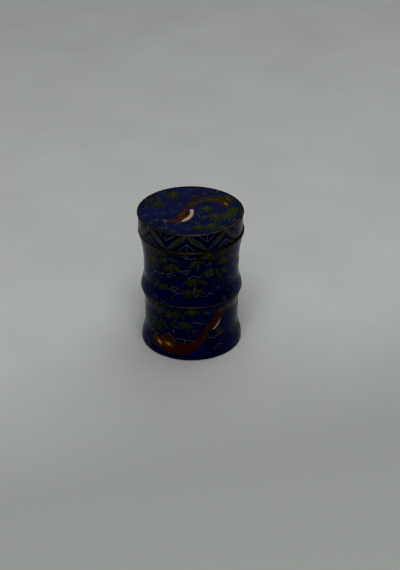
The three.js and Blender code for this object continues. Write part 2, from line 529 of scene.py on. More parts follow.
foot_inside = foot_ring_high.x - FOOT_RING_WIDTH
# The foot ring takes the darker brass: painted shade at the foot.
ring(
    "foot_ring",
    [(foot_inside, FOOT_RING_HEIGHT), (foot_inside, 0)]
    + outer_edge(foot_ring_high.x, 0, FOOT_RING_HEIGHT, over=0),
    finish=tarnished_shaded_brass,
)
ring(
    "node_ring",
    [(ring_seat, NODE_TOP), (ring_seat, NODE_HEIGHT)] + outer_edge(node_ring_high.x, NODE_HEIGHT, NODE_TOP),
)
collar_inside = COLLAR_OUTSIDE - COLLAR_GAUGE
ring(
    "mouth_rim",
    [(collar_inside, mouth_rim_high.z), (collar_inside, mouth_rim_low.z)]
    + outer_edge(mouth_rim_high.x, mouth_rim_low.z, LID_FOOT)
    + [(COLLAR_OUTSIDE, LID_FOOT), (COLLAR_OUTSIDE, mouth_rim_high.z)],
)
ring(
    "lid_lower_rim",
    [(lid_inside, lower_rim_high.z), (lid_inside, LID_FOOT)]
    + outer_edge(lower_rim_high.y, LID_FOOT, lower_rim_high.z, over=0),
    LID_AXIS,
)
upper_rim_inside = upper_rim_high.y - LID_RIM_WIDTH
# The lid's top rim takes the darker brass: painted shade on its sides, with tarnish.
ring(
    "lid_upper_rim",
    [(upper_rim_inside, BOX_TOP), (upper_rim_inside, upper_rim_low.z)]
    + outer_edge(upper_rim_high.y, upper_rim_low.z, BOX_TOP, under=RIM_ROUND / 2),
    LID_AXIS,
    tarnished_shaded_brass,
)

# The pattern is drawn flat, on a chart, and laid on the enamel by a tree that casts each point onto it.
# A chart has x along the wall or across the lid, y up the wall or to the back of the lid, and z out of it.

LAYING_SOCKETS = {"Carrier": "Object", "Axis": "Float", "Chart radius": "Float"}


def make_laying_tree(name, onto_wall):
    """Moves chart points onto the carrier: inwards to the wall's axis, or straight down onto the lid."""
    tree, given = geometry_tree(name, LAYING_SOCKETS)
    carrier = node(tree, "GeometryNodeObjectInfo", {"Object": given["Carrier"]}, transform_space="ORIGINAL")
    chart = node(tree, "ShaderNodeSeparateXYZ", {0: node(tree, "GeometryNodeInputPosition")}).outputs
    reach = RAY_REACH * MM
    if onto_wall:
        angle = node(tree, "ShaderNodeMath", {0: chart["X"], 1: given["Chart radius"]}, operation="DIVIDE")
        sine = node(tree, "ShaderNodeMath", {0: angle}, operation="SINE")
        cosine = node(tree, "ShaderNodeMath", {0: angle}, operation="COSINE")
        inward_x = node(tree, "ShaderNodeMath", {0: sine, 1: -1.0}, operation="MULTIPLY")
        inward = node(tree, "ShaderNodeCombineXYZ", {"X": inward_x, "Y": cosine})
        height = node(tree, "ShaderNodeCombineXYZ", {"X": given["Axis"], "Z": chart["Y"]})
        away = node(tree, "ShaderNodeVectorMath", {0: inward, "Scale": -reach}, operation="SCALE")
        start = node(tree, "ShaderNodeVectorMath", {0: height, 1: away}, operation="ADD")
    else:
        inward = node(tree, "ShaderNodeCombineXYZ", {"Z": -1.0})
        across = node(tree, "ShaderNodeMath", {0: chart["X"], 1: given["Axis"]}, operation="ADD")
        start = node(tree, "ShaderNodeCombineXYZ", {"X": across, "Y": chart["Y"], "Z": BOX_TOP * MM + reach})
    cast = node(
        tree,
        "GeometryNodeRaycast",
        {
            "Target Geometry": carrier.outputs["Geometry"],
            "Source Position": start,
            "Ray Direction": inward,
            "Ray Length": 2 * reach,
        },
    ).outputs
    lift = node(tree, "ShaderNodeVectorMath", {0: cast["Hit Normal"], "Scale": chart["Z"]}, operation="SCALE")
    landed = node(tree, "ShaderNodeVectorMath", {0: cast["Hit Position"], 1: lift}, operation="ADD")
    moved = node(tree, "GeometryNodeSetPosition", {"Geometry": given["Geometry"], "Position": landed})
    node(tree, "NodeGroupOutput", {"Geometry": moved})
    return tree


def laid(tree, geometry, given, laying):
    """What a tree made on the chart, laid on the carrier."""
    inputs = {"Geometry": geometry, **{socket: given[socket] for socket in LAYING_SOCKETS}}
    return node(tree, "GeometryNodeGroup", inputs, node_tree=laying)


def instanced(tree, given, points, shape):
    """Copies of one shape on chart points, each turned, and scaled to its own length and width."""
    turn, length, width = (
        node(tree, "GeometryNodeInputNamedAttribute", {"Name": name}, data_type="FLOAT")
        for name in ("turn", "length", "width")
    )
    spun = node(tree, "FunctionNodeEulerToRotation", {0: node(tree, "ShaderNodeCombineXYZ", {"Z": turn})})
    size = node(tree, "ShaderNodeCombineXYZ", {"X": length, "Y": width, "Z": 1.0})
    places, model = (
        node(tree, "GeometryNodeObjectInfo", {"Object": given[socket]}, transform_space="ORIGINAL")
        for socket in (points, shape)
    )
    copies = node(
        tree,
        "GeometryNodeInstanceOnPoints",
        {
            "Points": places.outputs["Geometry"],
            "Instance": model.outputs["Geometry"],
            "Rotation": spun,
            "Scale": size,
        },
    )
    return node(tree, "GeometryNodeRealizeInstances", {"Geometry": copies})


def make_leaf_tree(name, laying):
    """Enamel leaves: one leaf shape on every leaf point."""
    sockets = {"Leaves": "Object", "Leaf": "Object", **LAYING_SOCKETS, "Finish": "Material"}
    tree, given = geometry_tree(name, sockets)
    leaves = instanced(tree, given, "Leaves", "Leaf")
    return ended(tree, laid(tree, leaves, given, laying), given["Finish"])


def make_wire_tree(name, laying):
    """Flattened wire along every drawn line, every leaf's outline and vein, and every cloud scroll."""
    objects = ("Leaves", "Leaf lines", "Clouds", "Cloud lines")
    sizes = ("Wire width", "Wire proud", "Wire depth", "Leaf gauge", "Cloud gauge")
    sockets = {**dict.fromkeys(objects, "Object"), **dict.fromkeys(sizes, "Float")}
    tree, given = geometry_tree(name, {**sockets, **LAYING_SOCKETS, "Finish": "Material"})
    joined = node(tree, "GeometryNodeJoinGeometry", {0: given["Geometry"]})
    drawings = (("Leaves", "Leaf lines", "Leaf gauge"), ("Clouds", "Cloud lines", "Cloud gauge"))
    for points, shape, gauge in drawings:
        gauged = node(
            tree,
            "GeometryNodeStoreNamedAttribute",
            {"Geometry": instanced(tree, given, points, shape), "Name": "gauge", "Value": given[gauge]},
            data_type="FLOAT",
            domain="POINT",
        )
        tree.links.new(gauged.outputs[0], joined.inputs[0])
    lines = node(tree, "GeometryNodeMeshToCurve", {"Mesh": joined})
    gauge = node(tree, "GeometryNodeInputNamedAttribute", {"Name": "gauge"}, data_type="FLOAT")
    sized = node(tree, "GeometryNodeSetCurveRadius", {"Curve": lines, "Radius": gauge})
    level = node(tree, "GeometryNodeSetCurveNormal", {"Curve": sized}, mode="Z_UP")
    tall = node(tree, "ShaderNodeMath", {0: given["Wire proud"], 1: given["Wire depth"]}, operation="ADD")
    width = given["Wire width"]
    strip = node(tree, "GeometryNodeCurvePrimitiveQuadrilateral", {"Width": width, "Height": tall})
    half = node(tree, "ShaderNodeMath", {0: tall, 1: 0.5}, operation="MULTIPLY")
    below = node(tree, "ShaderNodeCombineXYZ", {"Y": half})
    hung = node(tree, "GeometryNodeSetPosition", {"Geometry": strip, "Offset": below})
    wire = node(tree, "GeometryNodeCurveToMesh", {"Curve": level, "Profile Curve": hung, "Fill Caps": True})
    above = node(tree, "ShaderNodeCombineXYZ", {"Z": given["Wire proud"]})
    raised = node(tree, "GeometryNodeSetPosition", {"Geometry": wire, "Offset": above})
    return ended(tree, laid(tree, raised, given, laying), given["Finish"])


def make_cell_tree(name, laying):
    """Enamel cells that keep their own finishes."""
    tree, given = geometry_tree(name, LAYING_SOCKETS)
    return ended(tree, laid(tree, given["Geometry"], given, laying))


trees = {}
for carrier, onto_wall in (("wall", True), ("top", False)):
    laying = make_laying_tree("laid_on_" + carrier, onto_wall)
    for kind, make in (("leaves", make_leaf_tree), ("wires", make_wire_tree), ("cells", make_cell_tree)):
        trees[carrier, kind] = make(carrier + "_" + kind, laying)

# Shapes on a chart.


def smoothed(a, b, c, d, u):
    """A value part of the way from b to c, on the smooth curve through all four."""
    return 0.5 * (2 * b + (c - a) * u + (2 * a - 5 * b + 4 * c - d) * u**2 + (3 * b - a - 3 * c + d) * u**3)


def smooth_through(points, spacing=0.45):
    """A smooth line through points of any number of coordinates, the first two of them a place."""
    line = []
    for i, (start, end) in enumerate(zip(points, points[1:])):
        before = points[i - 1] if i else start
        after = points[i + 2] if i + 2 < len(points) else end
        steps = max(2, round(math.dist(start[:2], end[:2]) / spacing))
        for step in range(steps):
            line.append(tuple(smoothed(*values, step / steps) for values in zip(before, start, end, after)))
    line.append(tuple(points[-1]))
    return line


def sides(spine):
    """The two sides of a cell that follows a spine of (x, y, width). An end with a width is rounded off."""
    line = smooth_through(spine)
    run = [0.0]
    for a, b in zip(line, line[1:]):
        run.append(run[-1] + math.dist(a[:2], b[:2]))
    left, right = [], []
    for i, (x, y, width) in enumerate(line):
        before, after = line[max(i - 1, 0)], line[min(i + 1, len(line) - 1)]
        way = Vector((after[0] - before[0], after[1] - before[1])).normalized()
        half = max(width, 0) / 2
        for from_end, end_width in ((run[i], spine[0][2]), (run[-1] - run[i], spine[-1][2])):
            reach = end_width / 2
            if from_end < reach:
                half *= math.sqrt(max(1 - (1 - from_end / reach) ** 2, 0))
        left.append((x - way.y * half, y + way.x * half))
        right.append((x + way.y * half, y - way.x * half))
    return left, right


def closed(left, right):
    """The closed line that goes along one side and comes back along the other."""
    return left + right[-2:0:-1] + left[:1]


def oval_spine(x, y, length, width, turn):
    """The spine of an oval cell, from its middle, its length and width, and its turn in degrees."""
    along = Vector((math.cos(math.radians(turn)), math.sin(math.radians(turn))))
    shares = (-1, -0.9, -0.6, -0.2, 0.2, 0.6, 0.9, 1)
    return [
        (x + along.x * length / 2 * s, y + along.y * length / 2 * s, width * math.sqrt(max(1 - s * s, 0)))
        for s in shares
    ]


def slab(cells, finishes=()):
    """Closed thin slabs between the sides of cells, which are (left side, right side, layer, finish)."""
    mesh = bpy.data.meshes.new("cells")
    shape = bmesh.new()
    across_layer = shape.verts.layers.float.new("across")
    for left, right, layer, finish in cells:
        steps_across = math.ceil(max(math.dist(a, b) for a, b in zip(left, right)) / CELL_STEP)
        levels = []
        for height in (FILL_PROUD + LAYER * layer, -FILL_DEPTH):
            rows = []
            for (x0, y0), (x1, y1) in zip(left, right):
                row = []
                for k in range(steps_across + 1):
                    share = k / steps_across
                    x, y = x0 + (x1 - x0) * share, y0 + (y1 - y0) * share
                    vert = shape.verts.new((x * MM, y * MM, height * MM))
                    vert[across_layer] = 2 * share - 1
                    row.append(vert)
                rows.append(row)
            levels.append(rows)
        top, bottom = levels
        last = len(left) - 1
        quads = []
        for i in range(last):
            for k in range(steps_across):
                quads.append((top[i][k], top[i + 1][k], top[i + 1][k + 1], top[i][k + 1]))
                quads.append((bottom[i][k], bottom[i][k + 1], bottom[i + 1][k + 1], bottom[i + 1][k]))
            for k in (0, steps_across):
                quads.append((top[i][k], bottom[i][k], bottom[i + 1][k], top[i + 1][k]))
        for i in (0, last):
            for k in range(steps_across):
                quads.append((top[i][k], top[i][k + 1], bottom[i][k + 1], bottom[i][k]))
        for quad in quads:
            shape.faces.new(quad).material_index = finish
    bmesh.ops.remove_doubles(shape, verts=shape.verts, dist=CELL_WELD)
    bmesh.ops.dissolve_degenerate(shape, edges=shape.edges, dist=CELL_WELD)
    bmesh.ops.recalc_face_normals(shape, faces=shape.faces)
    shape.to_mesh(mesh)
    shape.free()
    for finish in finishes:
        mesh.materials.append(finish)
    return mesh


def line_mesh(name, *groups):
    """Drawn lines, as edges. A group is the gauge of its wire and its lines."""
    mesh = bpy.data.meshes.new(name)
    places, edges, gauges = [], [], []
    for gauge, lines in groups:
        for line in lines:
            start = len(places)
            comes_back = math.dist(line[0], line[-1]) < SAME_PLACE
            kept = line[:-1] if comes_back else line
            places += [(x * MM, y * MM, 0) for x, y in kept]
            edges += [(start + i, start + i + 1) for i in range(len(kept) - 1)]
            gauges += [gauge] * len(kept)
            if comes_back:
                edges.append((start + len(kept) - 1, start))
    mesh.from_pydata(places, edges, [])
    mesh.attributes.new("gauge", "FLOAT", "POINT").data.foreach_set("value", gauges)
    return mesh


helpers = []


def helper(mesh):
    """An object that only the trees read. It is removed when all is laid."""
    made = bpy.data.objects.new(mesh.name, mesh)
    scene.collection.objects.link(made)
    helpers.append(made)
    return made


def point_mesh(name, rows):
    """Points with what each copy needs. A row is (x, y, turn in degrees, length, width, tint)."""
    mesh = bpy.data.meshes.new(name)
    places = [(x * MM, y * MM, (i % LEAF_LAYERS) * LAYER * MM) for i, (x, y, *_) in enumerate(rows)]
    mesh.from_pydata(places, [], [])
    columns = {
        "turn": [math.radians(row[2]) for row in rows],
        "length": [row[3] for row in rows],
        "width": [row[4] for row in rows],
        "tint": [row[5] for row in rows],
    }
    for label, values in columns.items():
        mesh.attributes.new(label, "FLOAT", "POINT").data.foreach_set("value", values)
    return mesh


# A leaf is drawn one millimetre long and one wide, fullest before its middle, and its points scale it.
LEAF_SHARES = (0, 0.07, 0.18, 0.31, 0.44, 0.57, 0.7, 0.84, 1)
LEAF_STALK = 1.3  # how far out of a spray's middle its leaves begin
STALK_OVERLAP = 0.2  # how far a stalk runs into its leaf

leaf_left = [(s, 0.5 * math.sin(math.pi * s**0.75) ** 1.15) for s in LEAF_SHARES]
leaf_right = [(s, -half) for s, half in leaf_left]
leaf_vein = [(s, 0) for s in (0.1, 0.25, 0.4, 0.55, 0.7)]
unit_leaf = helper(slab([(leaf_left, leaf_right, 0, 0)]))
unit_leaf_lines = helper(line_mesh("unit_leaf_lines", (1.0, [closed(leaf_left, leaf_right), leaf_vein])))

# A cloud scroll: a flat wave that ends in a curl.
CLOUD_POINTS = (
    (0, 0), (0.3, 0.14), (0.62, 0.02), (0.95, 0.16), (1.06, 0.5), (0.82, 0.74), (0.56, 0.6), (0.62, 0.34),
    (0.82, 0.4),
)
unit_cloud_lines = helper(line_mesh("unit_cloud_lines", (1.0, [smooth_through(CLOUD_POINTS, 0.13)])))


def arc_length(azimuth):
    """Millimetres along the chart for degrees round the wall."""
    return math.radians(azimuth) * CHART_RADIUS


def on_wall(points):
    """Chart places for (azimuth, height, ...) points."""
    return [(arc_length(point[0]), *point[1:]) for point in points]


def leaf_between(start, end, width=1.9, tint=0.35):
    """One leaf from its stem end to its tip, on the chart."""
    run = Vector((end[0] - start[0], end[1] - start[1]))
    return (*start, math.degrees(math.atan2(run.y, run.x)), run.length, width, tint)


# Sprays of leaves: the middle of the spray, the tips of its leaves, their width and their tint. Places on the
# walls are (azimuth in degrees, height), and on the lid's top (x, y).
DULL, SOFT, FRESH, CLEAR = 0.1, 0.4, 0.7, 0.95
TINT_CHANGES = (0, 0.3, -0.15, 0.2, -0.1)
WALL_SPRAYS = (
    # Upper segment, left of the middle.
    ((-34, 65.6), ((-52, 62.4), (-42, 61.2), (-36, 59.6), (-28, 62)), 1.7, DULL),
    ((-50, 65.4), ((-67, 61), (-58, 61.4), (-48, 60.4)), 1.7, DULL),
    ((-30, 60.4), ((-40.5, 56),), 2.3, CLEAR),
    ((-28.5, 60.8), ((-32, 56.8), (-14, 59.4)), 1.6, SOFT),
    ((-22.5, 57.4), ((-35.5, 52.4), (-30, 52.2), (-23.8, 50.2), (-8.6, 52)), 1.7, SOFT),
    ((-20, 57), ((-15, 52.6),), 2.0, CLEAR),
    ((-48, 57), ((-66, 51.4), (-57, 50.6), (-50.4, 50.2), (-42.4, 52)), 1.8, DULL),
    ((-44, 59.6), ((-54, 56.8), (-45, 55.6)), 1.5, DULL),
    ((-29.5, 43.7), ((-42.5, 40.2),), 2.4, CLEAR),
    ((-41.5, 44.6), ((-51, 39.4),), 1.9, SOFT),
    ((-21.5, 43.8), ((-28, 41), (-21.8, 40.4), (-14, 42.4)), 1.3, SOFT),
    ((-2.5, 42.6), ((-12, 40.2), (-9, 38), (-4.4, 37.4)), 1.6, SOFT),
    # Upper segment, right of the middle.
    ((3.5, 60.6), ((-4.2, 55.2), (2.4, 56.4), (9.6, 57), (15.4, 58.6)), 1.5, SOFT),
    ((20, 64.8), ((9, 62.2), (14.6, 61.2), (20.6, 60.1), (27, 60.2)), 1.7, SOFT),
    ((30, 65.2), ((30.4, 60.2), (38.6, 60.8), (45, 63)), 1.6, DULL),
    ((38, 60), ((31, 56.8), (36.8, 55), (42.6, 55.2), (48, 55)), 1.5, SOFT),
    ((48, 59.4), ((60, 55.2), (66, 57.6)), 1.5, DULL),
    ((24, 54.6), ((11.6, 51.4), (16.8, 50.2), (21.8, 49.8), (26.4, 50.2)), 1.6, SOFT),
    ((29.5, 53.6), ((38.6, 45.8),), 2.0, 0.7),
    ((38, 52.6), ((48.4, 48.8),), 2.4, CLEAR),
    ((3.8, 49.2), ((-11.4, 45.6), (-3.4, 44.2), (5.8, 43.8), (21, 45.4)), 1.8, SOFT),
    ((3.4, 43.8), ((-1.6, 39.6), (4, 38.2), (9.4, 39), (16.2, 40)), 1.7, SOFT),
    # Lower segment.
    ((-42, 31.8), ((-53, 26.2), (-46, 27)), 1.9, DULL),
    ((-53, 31.6), ((-65, 25.6), (-57, 26)), 1.8, DULL),
    ((-34.5, 28.8), ((-45.8, 24.2),), 2.6, CLEAR),
    ((-26.4, 29.2), ((-29.6, 22.6),), 2.5, SOFT),
    ((-19.5, 29.4), ((-24.4, 25.2), (-17.6, 23.4)), 1.8, SOFT),
    ((-17, 29.2), ((-7.8, 24.2),), 2.3, SOFT),
    ((-18.6, 23.2), ((-25.8, 19.4),), 1.9, SOFT),
    ((-8, 22.8), ((-17, 20.6), (-12.4, 18.2), (-5, 18), (1.6, 19.4)), 1.8, SOFT),
    ((-41.5, 21.8), ((-29, 16.9),), 2.2, SOFT),
    ((-47.5, 21), ((-55.2, 15.2), (-64, 18.6)), 1.8, SOFT),
    ((-43, 19.4), ((-43.4, 13.8),), 2.3, SOFT),
    ((0.5, 31.8), ((-7.8, 28.4), (-2, 27.4), (3, 26.8), (9.6, 28.4)), 1.7, CLEAR),
    ((31, 16.4), ((38.8, 12.2),), 1.8, DULL),
    ((34, 16.9), ((43.8, 12.3),), 1.8, DULL),
    ((43, 31), ((50, 25.2), (56, 27.6)), 1.5, DULL),
)
LID_SPRAYS = (
    ((-9, 22), ((-13.4, 15.4), (-11.8, 12.2), (-9, 10.4), (-6.2, 11.6), (-4.2, 15.6)), 1.5, DULL),
    ((-17.6, 16.6), ((-15.8, 9.4),), 2.1, CLEAR),
    ((-16.8, 10), ((-22.6, 5.6), (-20.6, 2), (-17, 0.6), (-13.6, 2.4), (-11.6, 6.4)), 1.5, DULL),
    ((-22.6, 14.2), ((-25.2, 9.4), (-23.4, 7.6), (-20.4, 8.6), (-18.6, 11.4)), 1.6, DULL),
    ((8.6, 4.8), ((4.6, 1.4), (6, -1.8), (8.6, -3.4), (11.2, -1.8), (12.2, 1)), 1.4, FRESH),
    ((12.8, -4), ((7.4, -8), (9.4, -12.2), (12.4, -14.8), (15.6, -13.6), (17.8, -9.4)), 1.6, FRESH),
    ((18.8, -2), ((14.6, -7.2), (16.8, -12), (20, -13.4), (22.8, -10.8), (24, -7)), 1.7, FRESH),
    ((22, 3.6), ((18.4, -2), (20.4, -6), (23.2, -6.8), (25, -3.6), (25.4, 0.6)), 1.6, FRESH),
    ((4.4, -16), ((0.8, -19.4), (2.4, -21.8), (5, -22.6), (7.8, -20.2)), 1.4, FRESH),
    ((10.8, -14.6), ((6.4, -19), (8.4, -22.2), (11.2, -23), (14, -21.4), (16.2, -17.4)), 1.5, FRESH),
    ((16, -17), ((15.2, -21.6), (17.4, -20.6), (19, -18.6)), 1.3, DULL),
    ((1.0, 4.6), ((1.8, 2.0),), 1.1, CLEAR),
)


def spray_rows(sprays):
    """Rows of leaf points for sprays on a chart."""
    rows = []
    for middle, tips, width, tint in sprays:
        for tip, change in zip(tips, TINT_CHANGES):
            run = Vector(tip) - Vector(middle)
            start = Vector(middle) + run.normalized() * (LEAF_STALK if len(tips) > 1 else 0)
            rows.append(leaf_between(tuple(start), tip, width, tint + change))
    return rows


def stalks(sprays):
    """A line from the middle of each spray to the stem end of each of its leaves."""
    lines = []
    for middle, tips, _, _ in sprays:
        for tip in tips if len(tips) > 1 else ():
            way = (Vector(tip) - Vector(middle)).normalized()
            lines.append([tuple(middle), tuple(Vector(middle) + way * (LEAF_STALK + STALK_OVERLAP))])
    return lines


# The walls' sprays, with their azimuths as lengths along the chart.
wall_sprays = [(on_wall([middle])[0], on_wall(tips), *rest) for middle, tips, *rest in WALL_SPRAYS]

# The hidden back of the walls carries plainer sprays at seeded places, and no bird.
BACK_SEED = 11
BACK_ROWS = ((61, 1), (52, 0), (42, 1), (27, 0), (17, 1), (9, 0))  # height, and whether it starts later
BACK_START, BACK_END, BACK_PITCH = 84, 276, 32  # azimuths
BACK_SPRAYS = 6
BACK_TURNS = (-168, -128, -92, -52, -12)
BACK_LEAF_WIDTH = 2.0
BACK_CLOUD_DROP = 2
BACK_CLOUDS_FROM, BACK_CLOUDS_TO = 3.5, 62  # heights clear of the foot and the mouth


def back_rows():
    """Rows of leaf points, and the places under their sprays that scrolls go beside."""
    rows, places = [], []
    chance = random.Random(BACK_SEED)
    for height, later in BACK_ROWS:
        for step in range(BACK_SPRAYS):
            azimuth = BACK_START + BACK_PITCH * (step + later / 2) + chance.uniform(-4, 4)
            if azimuth > BACK_END:
                continue
            x, y = arc_length(azimuth), height + chance.uniform(-1.5, 1.5)
            tips = []
            for turn in BACK_TURNS:
                way = math.radians(turn + chance.uniform(-8, 8))
                length = chance.uniform(4.4, 6.8)
                tips.append((x + length * math.cos(way), y + length * math.sin(way)))
            tint = chance.choice((DULL, SOFT, SOFT, CLEAR))
            rows += spray_rows([((x, y), tips, BACK_LEAF_WIDTH, tint)])
            places.append((x, y - BACK_CLOUD_DROP))
    return rows, places


def scrolls_beside(places):
    """A cloud scroll on each side of each place, but none too near the foot or the mouth."""
    chance = random.Random(BACK_SEED + 1)
    scrolls = []
    for x, y in places:
        for side in (-1, 1):
            scrolls.append((x + side * chance.uniform(5.5, 7.5), y + chance.uniform(-3, 3), 0))
    return [scroll for scroll in scrolls if BACK_CLOUDS_FROM < scroll[1] < BACK_CLOUDS_TO]


# Cells of the two birds: a shape, a layer and a finish. A shape is a spine of (x, y, width), or an oval as
# (x, y, length, width, turn), with azimuths for x on the wall.
LID_BIRD = (
    # The tail: two plumes that widen into lobes with an eye each.
    (((-0.4, 7.4, 1.0), (3.4, 11.2, 2.4), (8, 13.8, 3.0), (13, 14.9, 3.4), (17.6, 14.2, 4.2),
      (20.6, 12.2, 4.6), (21.8, 9.6, 3.0)), 0, "rust"),
    (((0.2, 4.4, 1.4), (2.6, 8.0, 2.6), (7, 10.8, 3.0), (12, 11.5, 3.4), (16, 9.8, 4.4), (18.4, 7.2, 5.2),
      (19.8, 4.0, 3.4)), 1, "rust"),
    ((18.5, 7.3, 5.0, 3.0, -65), 2, "brown"),
    ((18.5, 7.3, 3.4, 1.7, -65), 3, "yellow"),
    ((19.8, 12.8, 2.4, 1.3, -30), 3, "pink"),
    # The bird: back, neck, wing, wing shadow, belly, beak.
    (((-2.8, -0.8, 1.4), (-2.0, 2.6, 1.5), (-0.9, 6.0, 1.4), (0.8, 8.8, 0)), 2, "brown"),
    (((-13.2, -12.0, 1.4), (-10.4, -11.6, 2.8), (-7.4, -11.4, 3.8), (-4.4, -10.6, 4.0),
      (-3.0, -8.6, 3.2)), 1, "russet"),
    ((-4.4, -5.0, 9.2, 4.4, 74), 2, "russet"),
    (((-2.0, -0.4, 0), (-1.9, -3.6, 1.7), (-2.5, -6.6, 1.6), (-3.7, -9.0, 0)), 3, "olive"),
    (((0.5, 1.5, 2.6), (0.7, -1.5, 2.3), (0.5, -4.8, 2.2), (-0.8, -8.0, 2.8), (-2.6, -10.6, 2.7),
      (-5.4, -13.4, 0)), 3, "white"),
    (((-14.0, -9.6, 0.6), (-13.3, -12.2, 1.3), (-12.5, -14.8, 0)), 2, "pink"),
)
WALL_BIRD = (
    # The tail: two lobes with an eye each, and two long plumes that run up to the bird.
    (((-42, 5.8, 2.4), (-32, 4.9, 2.7), (-22, 4.6, 2.7), (-10, 5.0, 2.6), (0, 6.3, 2.4), (8, 9.0, 2.3),
      (14, 12.2, 2.2), (19.5, 15.4, 1.6)), 0, "red"),
    (((-24, 8.6, 4.6), (-15, 7.9, 3.4), (-6, 8.0, 2.8), (2, 9.0, 2.4), (8, 11.3, 2.4), (13, 14.2, 2.2),
      (18.5, 17.6, 1.6)), 1, "red"),
    ((-43.5, 8.1, 9.0, 6.2, -6), 2, "scarlet"),
    ((-28.6, 9.2, 8.6, 8.0, 0), 3, "scarlet"),
    ((-41.5, 7.6, 6.0, 4.2, -20), 4, "orange"),
    ((-41.2, 7.5, 3.8, 1.9, -30), 5, "cream"),
    ((-28.7, 8.5, 7.2, 5.6, -6), 4, "brown"),
    ((-28.8, 8.1, 6.2, 4.2, -10), 5, "orange"),
    ((-28.9, 8.0, 3.9, 2.1, -12), 6, "yellow"),
    # The bird: neck, wing, wing shadow, belly and beak.
    (((17, 15.8, 2.6), (21, 17.6, 3.4), (25, 18.8, 3.2)), 0, "red"),
    (((30.5, 21.8, 4.2), (35, 23.2, 4.4), (38.6, 25.0, 4.0), (40.6, 27.4, 2.6)), 1, "brown"),
    ((27.2, 20.4, 9.8, 5.0, 30), 2, "scarlet"),
    (((30.4, 19.3, 0), (33.4, 21.0, 1.4), (34.4, 23.4, 0)), 3, "brown"),
    (((25.4, 16.6, 0), (28.6, 17.2, 1.2), (32, 18.5, 1.5), (35.6, 20.5, 1.3), (39, 22.6, 0)), 4, "white"),
    (((33, 27.2, 0), (37.4, 28.3, 1.0), (42.6, 28.9, 0.4)), 2, "pink"),
)

# Lines drawn in wire only, in (azimuth, height) on the wall and in (x, y) on the lid.
WALL_LINES = (
    ((-30, 50), (-27, 51.2), (-24, 51), (-21, 50.2), (-18, 51)),
    ((-56, 46), (-50, 48.6), (-45, 50), (-40, 49.5), (-33, 50.5)),
    ((-29, 50.6), (-28.5, 49), (-26.5, 48.8), (-26.2, 50)),
    ((-25, 35.5), (-22, 38.4), (-18, 40), (-11, 40)),
    ((-30, 42.2), (-26.5, 41.6), (-22, 40.8), (-18, 41.4)),
    ((6.5, 58), (7.2, 56.2), (7, 54.5)),
    ((15, 50), (18, 50.9), (21, 50), (24, 50.8), (26, 50)),
    ((-4, 49), (0, 50.6), (3, 51), (7, 50.2), (10, 50), (12, 51)),
    ((3.5, 45.8), (3.7, 44.6), (3.5, 43.5)),
    ((4, 38.5), (7, 39.3), (10, 39), (14, 38.2), (18, 38.5), (21, 39.6), (24, 39.5), (27, 38.5), (26, 37.6)),
    ((45, 38.5), (48, 37.6), (51, 37.5)),
    ((55, 39), (60, 37.6), (65, 37)),
    ((48, 45), (52, 45), (56, 44), (62, 42)),
    ((-8, 55), (-4, 54.2), (0, 54.6)),
    ((-6, 62.6), (-2, 61.8), (2, 62.4), (7, 61.8)),
    ((-22, 18.5), (-19.5, 19.4), (-17, 19), (-14, 18.5)),
    ((-23, 17), (-22.8, 16), (-21.5, 15.7), (-21.2, 16.8)),
    ((0, 22), (4.5, 22.7), (9, 22)),
    ((9, 22), (12, 21.4), (15, 22.2)),
    ((2, 18), (3, 17.2), (4, 17)),
    ((-19, 11.5), (-15, 12.3), (-10, 12), (-5, 11.4), (0, 11.5), (5, 10.5)),
    ((-8.5, 12), (-8.3, 10.8), (-8.5, 9.5)),
    ((-60, 11), (-55, 12), (-50, 12)),
    ((21, 12), (24.5, 12.2), (28, 11.5), (33, 12.5), (41, 12.5)),
    ((31, 6.5), (35, 7), (39, 6.5)),
    ((-37, 10.6), (-35.2, 12.6), (-31, 14), (-27, 13.6), (-22.5, 11.4), (-18.6, 9.6)),
    ((-52, 8.2), (-49, 10.6), (-45, 11.6)),
)
LID_LINES = (
    ((-12.6, -14.8), (-12.3, -17.4), (-12, -20)),
    ((3, -3), (4.2, -5.4), (5, -8)),
    ((4.6, -2.2), (5.6, -2.8), (6.4, -2)),
    ((1.2, 5.2), (4.6, 9.8), (9, 12.0), (13.5, 12.2), (16.6, 10.6)),
    ((-20, -13.5), (-18.4, -11.6), (-16.4, -11.4)),
)
# Cloud scrolls as (x or azimuth, y or height, turn).
WALL_CLOUDS = (
    (-60, 60, 0), (-12, 64, 0), (47, 64.6, 10), (57, 51, 0), (-62, 38, 0), (-50, 36, 15), (-13, 54, 0),
    (15, 57, 0), (30, 43, 0), (36, 36, 0), (-36, 34.5, 0), (50, 34.5, 10), (14, 28.5, 0), (-34, 24, 0),
    (24, 6.4, 0), (60, 24, 0), (-64, 5, 0), (55, 9, 0),
)
LID_CLOUDS = (
    (-25, 1.5, 20), (-20.6, -3.6, 40), (-25, -6.4, 10), (-15.8, -4.6, 15), (-20.4, -10, 330),
    (-16, -11.2, 30), (-21.6, -15, 30), (-16.4, -18.6, 0), (-10, -3, 70), (-8.2, -16, 20),
    (-10.6, -21.6, 0), (-4, -20.6, 20), (0.6, -12.6, 0), (5.4, -10.4, 20), (4.4, 2, 20), (0.4, 15, 10),
    (-3.6, 20, 0), (5, 19.6, 10), (12.6, 20, 0), (18, 17.4, 340), (-2, 24.6, 350), (8.4, 24, 340),
    (-15.4, 19.6, 30), (-7.4, 5.4, 20), (-12, 0.6, 30), (23.6, -13, 80),
)

CLOUD_SIZE = 3.0
WALL_CLOUD_SEED = 5
LID_CLOUD_SEED = 6


def cloud_rows(places, seed):
    """Cloud scrolls of varied size at chart places."""
    chance = random.Random(seed)
    rows = []
    for x, y, turn in places:
        scale = CLOUD_SIZE * chance.uniform(0.8, 1.25)
        rows.append((x, y, turn + chance.uniform(-12, 12), scale, scale * chance.choice((-1, 1)), 0.5))
    return rows


